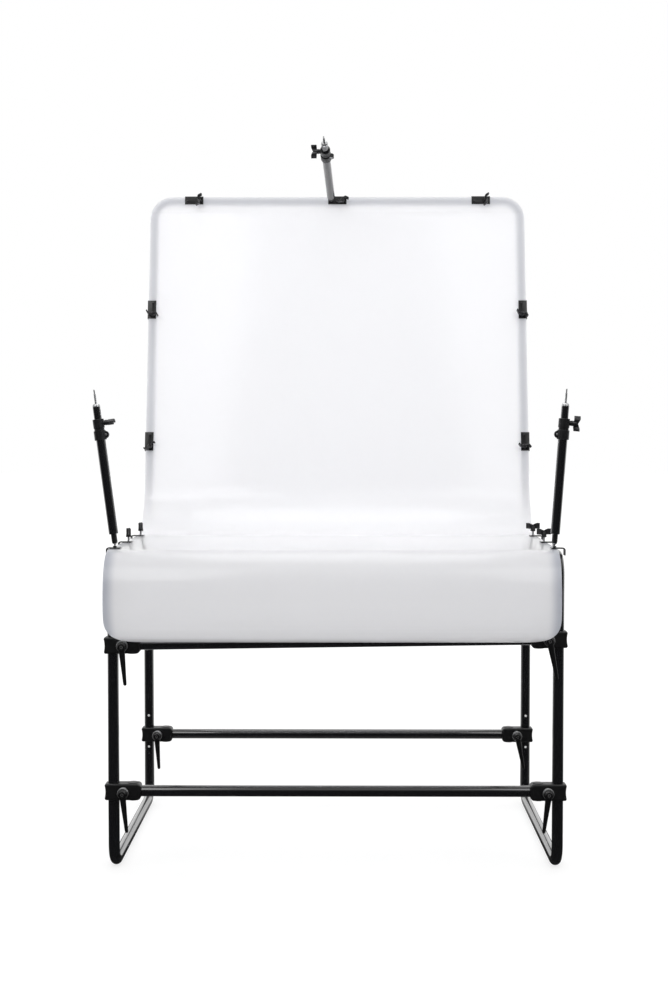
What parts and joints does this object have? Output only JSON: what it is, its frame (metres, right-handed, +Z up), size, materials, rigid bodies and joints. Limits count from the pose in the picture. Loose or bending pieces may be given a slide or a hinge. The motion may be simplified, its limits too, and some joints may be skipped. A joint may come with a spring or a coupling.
{
  "type": "photo shooting table",
  "caption": "Free-standing still-life shooting table: a white sheet swept from a tilting backrest over the table and down the front, on a tube stand with accessory arms.",
  "frame": {"origin": "on the floor, below the middle of the bounding box", "axes": "+X to the right seen from the front, +Y to the back, +Z up"},
  "size_m": [1.0904, 0.8621, 1.711],
  "materials": {
    "tube": "gloss black",
    "clamp": "satin moulded black",
    "lever": "black",
    "plate": "satin black",
    "knob": "black",
    "steel": "bright",
    "sheet": "opal white, glossy on both faces"
  },
  "bodies": {
    "stand": {"side_frame_left": "tube", "side_frame_right": "tube", "pivot_bracket_left": "plate", "pivot_bracket_right": "plate", "sheet_table": "sheet", "sheet_sweep": "sheet", "table_clip_front_left": "plate", "table_clip_front_right": "plate", "table_clip_rear_left": "plate", "table_clip_rear_right": "plate", "arm_bracket_left": "plate", "arm_bracket_right": "plate"},
    "backrest": {"backrest_frame": "tube", "sheet_backrest": "sheet", "arm_bracket_top": "plate", "back_clip_top_left": "plate", "back_clip_top_right": "plate", "back_clip_upper_left": "plate", "back_clip_upper_right": "plate", "back_clip_lower_left": "plate", "back_clip_lower_right": "plate"},
    "crossbar_front_lower": {"crossbar_front_lower": "tube", "clamp_front_lower_left": "clamp", "clamp_front_lower_right": "clamp"},
    "lever_front_lower_left": {"lever_front_lower_left": "lever"},
    "lever_front_lower_right": {"lever_front_lower_right": "lever"},
    "crossbar_rear_lower": {"crossbar_rear_lower": "tube", "clamp_rear_lower_left": "clamp", "clamp_rear_lower_right": "clamp"},
    "lever_rear_lower_left": {"lever_rear_lower_left": "lever"},
    "lever_rear_lower_right": {"lever_rear_lower_right": "lever"},
    "crossbar_front_upper": {"crossbar_front_upper": "tube", "clamp_front_upper_left": "clamp", "clamp_front_upper_right": "clamp"},
    "lever_front_upper_left": {"lever_front_upper_left": "lever"},
    "lever_front_upper_right": {"lever_front_upper_right": "lever"},
    "back_knob_top_left": {"back_knob_top_left": "knob"},
    "back_knob_upper_left": {"back_knob_upper_left": "knob"},
    "back_knob_lower_left": {"back_knob_lower_left": "knob"},
    "table_knob_front_left": {"table_knob_front_left": "knob"},
    "table_knob_rear_left": {"table_knob_rear_left": "knob"},
    "back_knob_top_right": {"back_knob_top_right": "knob"},
    "back_knob_upper_right": {"back_knob_upper_right": "knob"},
    "back_knob_lower_right": {"back_knob_lower_right": "knob"},
    "table_knob_front_right": {"table_knob_front_right": "knob"},
    "table_knob_rear_right": {"table_knob_rear_right": "knob"},
    "arm_bracket_knob": {"arm_bracket_knob": "knob"},
    "arm_swivel_left": {"arm_ball_left": "steel"},
    "arm_left": {"arm_tube_left": "tube"},
    "arm_rod_left": {"arm_rod_left": "tube"},
    "arm_knob_left": {"arm_knob_left": "knob"},
    "arm_swivel_right": {"arm_ball_right": "steel"},
    "arm_right": {"arm_tube_right": "tube"},
    "arm_rod_right": {"arm_rod_right": "tube"},
    "arm_knob_right": {"arm_knob_right": "knob"},
    "arm_swivel_top": {"arm_ball_top": "steel"},
    "arm_top": {"arm_tube_top": "tube"},
    "arm_rod_top": {"arm_rod_top": "tube"},
    "arm_knob_top": {"arm_knob_top": "knob"}
  },
  "joints": [
    {"name": "backrest_tilt", "type": "hinge", "parent": "stand", "child": "backrest", "pos_m": [0, 0.24, 0.742], "axis": [-1, 0, 0], "range_deg": [-10, 20], "deforming": ["sheet_sweep"]},
    {"name": "slide_front_lower", "type": "slide", "parent": "stand", "child": "crossbar_front_lower", "axis": [0, 0, 1], "range_m": [-0.05, 0.1]},
    {"name": "turn_lever_front_lower_left", "type": "hinge", "parent": "crossbar_front_lower", "child": "lever_front_lower_left", "pos_m": [-0.4745, -0.337, 0.178], "axis": [0, -1, 0], "range_deg": [-96.3, 83.7]},
    {"name": "turn_lever_front_lower_right", "type": "hinge", "parent": "crossbar_front_lower", "child": "lever_front_lower_right", "pos_m": [0.4745, -0.337, 0.178], "axis": [0, -1, 0], "range_deg": [-82.5, 97.5]},
    {"name": "slide_rear_lower", "type": "slide", "parent": "stand", "child": "crossbar_rear_lower", "axis": [0, 0, 1], "range_m": [-0.05, 0.35]},
    {"name": "turn_lever_rear_lower_left", "type": "hinge", "parent": "crossbar_rear_lower", "child": "lever_rear_lower_left", "pos_m": [-0.4745, 0.303, 0.182], "axis": [0, -1, 0], "range_deg": [-93.7, 86.3]},
    {"name": "turn_lever_rear_lower_right", "type": "hinge", "parent": "crossbar_rear_lower", "child": "lever_rear_lower_right", "pos_m": [0.4745, 0.303, 0.182], "axis": [0, -1, 0], "range_deg": [-100.9, 79.1]},
    {"name": "slide_front_upper", "type": "slide", "parent": "stand", "child": "crossbar_front_upper", "axis": [0, 0, 1], "range_m": [-0.12, 0]},
    {"name": "turn_lever_front_upper_left", "type": "hinge", "parent": "crossbar_front_upper", "child": "lever_front_upper_left", "pos_m": [-0.47445, -0.337, 0.50838], "axis": [0, -1, 0], "range_deg": [-65.1, 54.9]},
    {"name": "turn_lever_front_upper_right", "type": "hinge", "parent": "crossbar_front_upper", "child": "lever_front_upper_right", "pos_m": [0.47445, -0.337, 0.52163], "axis": [0, -1, 0], "range_deg": [-71, 49]},
    {"name": "turn_back_knob_top_left", "type": "hinge", "parent": "backrest", "child": "back_knob_top_left", "pos_m": [-0.3705, 0.40675, 1.60059], "axis": [0, -0.9781, 0.2079], "continuous": true},
    {"name": "turn_back_knob_upper_left", "type": "hinge", "parent": "backrest", "child": "back_knob_upper_left", "pos_m": [-0.4885, 0.34147, 1.29345], "axis": [0, -0.9781, 0.2079], "continuous": true},
    {"name": "turn_back_knob_lower_left", "type": "hinge", "parent": "backrest", "child": "back_knob_lower_left", "pos_m": [-0.4885, 0.26745, 0.94523], "axis": [0, -0.9781, 0.2079], "continuous": true},
    {"name": "turn_table_knob_front_left", "type": "hinge", "parent": "stand", "child": "table_knob_front_left", "pos_m": [-0.4897, -0.137, 0.7261], "axis": [0, 0, 1], "continuous": true},
    {"name": "turn_table_knob_rear_left", "type": "hinge", "parent": "stand", "child": "table_knob_rear_left", "pos_m": [-0.4897, 0.081, 0.7261], "axis": [0, 0, 1], "continuous": true},
    {"name": "turn_back_knob_top_right", "type": "hinge", "parent": "backrest", "child": "back_knob_top_right", "pos_m": [0.3975, 0.40675, 1.60059], "axis": [0, -0.9781, 0.2079], "continuous": true},
    {"name": "turn_back_knob_upper_right", "type": "hinge", "parent": "backrest", "child": "back_knob_upper_right", "pos_m": [0.4885, 0.34147, 1.29345], "axis": [0, -0.9781, 0.2079], "continuous": true},
    {"name": "turn_back_knob_lower_right", "type": "hinge", "parent": "backrest", "child": "back_knob_lower_right", "pos_m": [0.4885, 0.26745, 0.94523], "axis": [0, -0.9781, 0.2079], "continuous": true},
    {"name": "turn_table_knob_front_right", "type": "hinge", "parent": "stand", "child": "table_knob_front_right", "pos_m": [0.4897, -0.137, 0.7261], "axis": [0, 0, 1], "continuous": true},
    {"name": "turn_table_knob_rear_right", "type": "hinge", "parent": "stand", "child": "table_knob_rear_right", "pos_m": [0.4897, 0.081, 0.7261], "axis": [0, 0, 1], "continuous": true},
    {"name": "turn_arm_bracket_knob", "type": "hinge", "parent": "backrest", "child": "arm_bracket_knob", "pos_m": [0.0135, 0.40675, 1.60059], "axis": [0, -0.9781, 0.2079], "continuous": true},
    {"name": "swivel_arm_left", "type": "hinge", "parent": "stand", "child": "arm_swivel_left", "pos_m": [-0.495, -0.322, 0.7354], "axis": [0, 0, 1], "continuous": true},
    {"name": "tilt_arm_left", "type": "hinge", "parent": "arm_swivel_left", "child": "arm_left", "pos_m": [-0.495, -0.322, 0.7354], "axis": [0, 1, 0], "range_deg": [-32.6, 47.4]},
    {"name": "extend_arm_left", "type": "slide", "parent": "arm_left", "child": "arm_rod_left", "axis": [-0.1288, 0, 0.9917], "range_m": [-0.03, 0.15]},
    {"name": "turn_arm_knob_left", "type": "hinge", "parent": "arm_left", "child": "arm_knob_left", "pos_m": [-0.5146, -0.322, 1.00512], "axis": [0.9917, 0, 0.1288], "continuous": true},
    {"name": "swivel_arm_right", "type": "hinge", "parent": "stand", "child": "arm_swivel_right", "pos_m": [0.49, -0.322, 0.7354], "axis": [0, 0, 1], "continuous": true},
    {"name": "tilt_arm_right", "type": "hinge", "parent": "arm_swivel_right", "child": "arm_right", "pos_m": [0.49, -0.322, 0.7354], "axis": [0, 1, 0], "range_deg": [-44.2, 35.8]},
    {"name": "extend_arm_right", "type": "slide", "parent": "arm_right", "child": "arm_rod_right", "axis": [0.0732, 0, 0.9973], "range_m": [-0.03, 0.15]},
    {"name": "turn_arm_knob_right", "type": "hinge", "parent": "arm_right", "child": "arm_knob_right", "pos_m": [0.52503, -0.322, 1.00355], "axis": [0.9973, 0, -0.0732], "continuous": true},
    {"name": "swivel_arm_top", "type": "hinge", "parent": "backrest", "child": "arm_swivel_top", "pos_m": [-0.016, 0.39766, 1.60252], "axis": [0, -0.9781, 0.2079], "continuous": true},
    {"name": "tilt_arm_top", "type": "hinge", "parent": "arm_swivel_top", "child": "arm_top", "pos_m": [-0.016, 0.39766, 1.60252], "axis": [0.9135, 0.0846, 0.3978], "range_deg": [-33.4, 46.6]},
    {"name": "extend_arm_top", "type": "slide", "parent": "arm_top", "child": "arm_rod_top", "axis": [-0.0467, -0.9498, 0.3092], "range_m": [-0.03, 0.15]},
    {"name": "turn_arm_knob_top", "type": "hinge", "parent": "arm_top", "child": "arm_knob_top", "pos_m": [-0.04391, 0.14189, 1.68583], "axis": [-0.9989, 0.0452, -0.0121], "continuous": true}
  ]
}
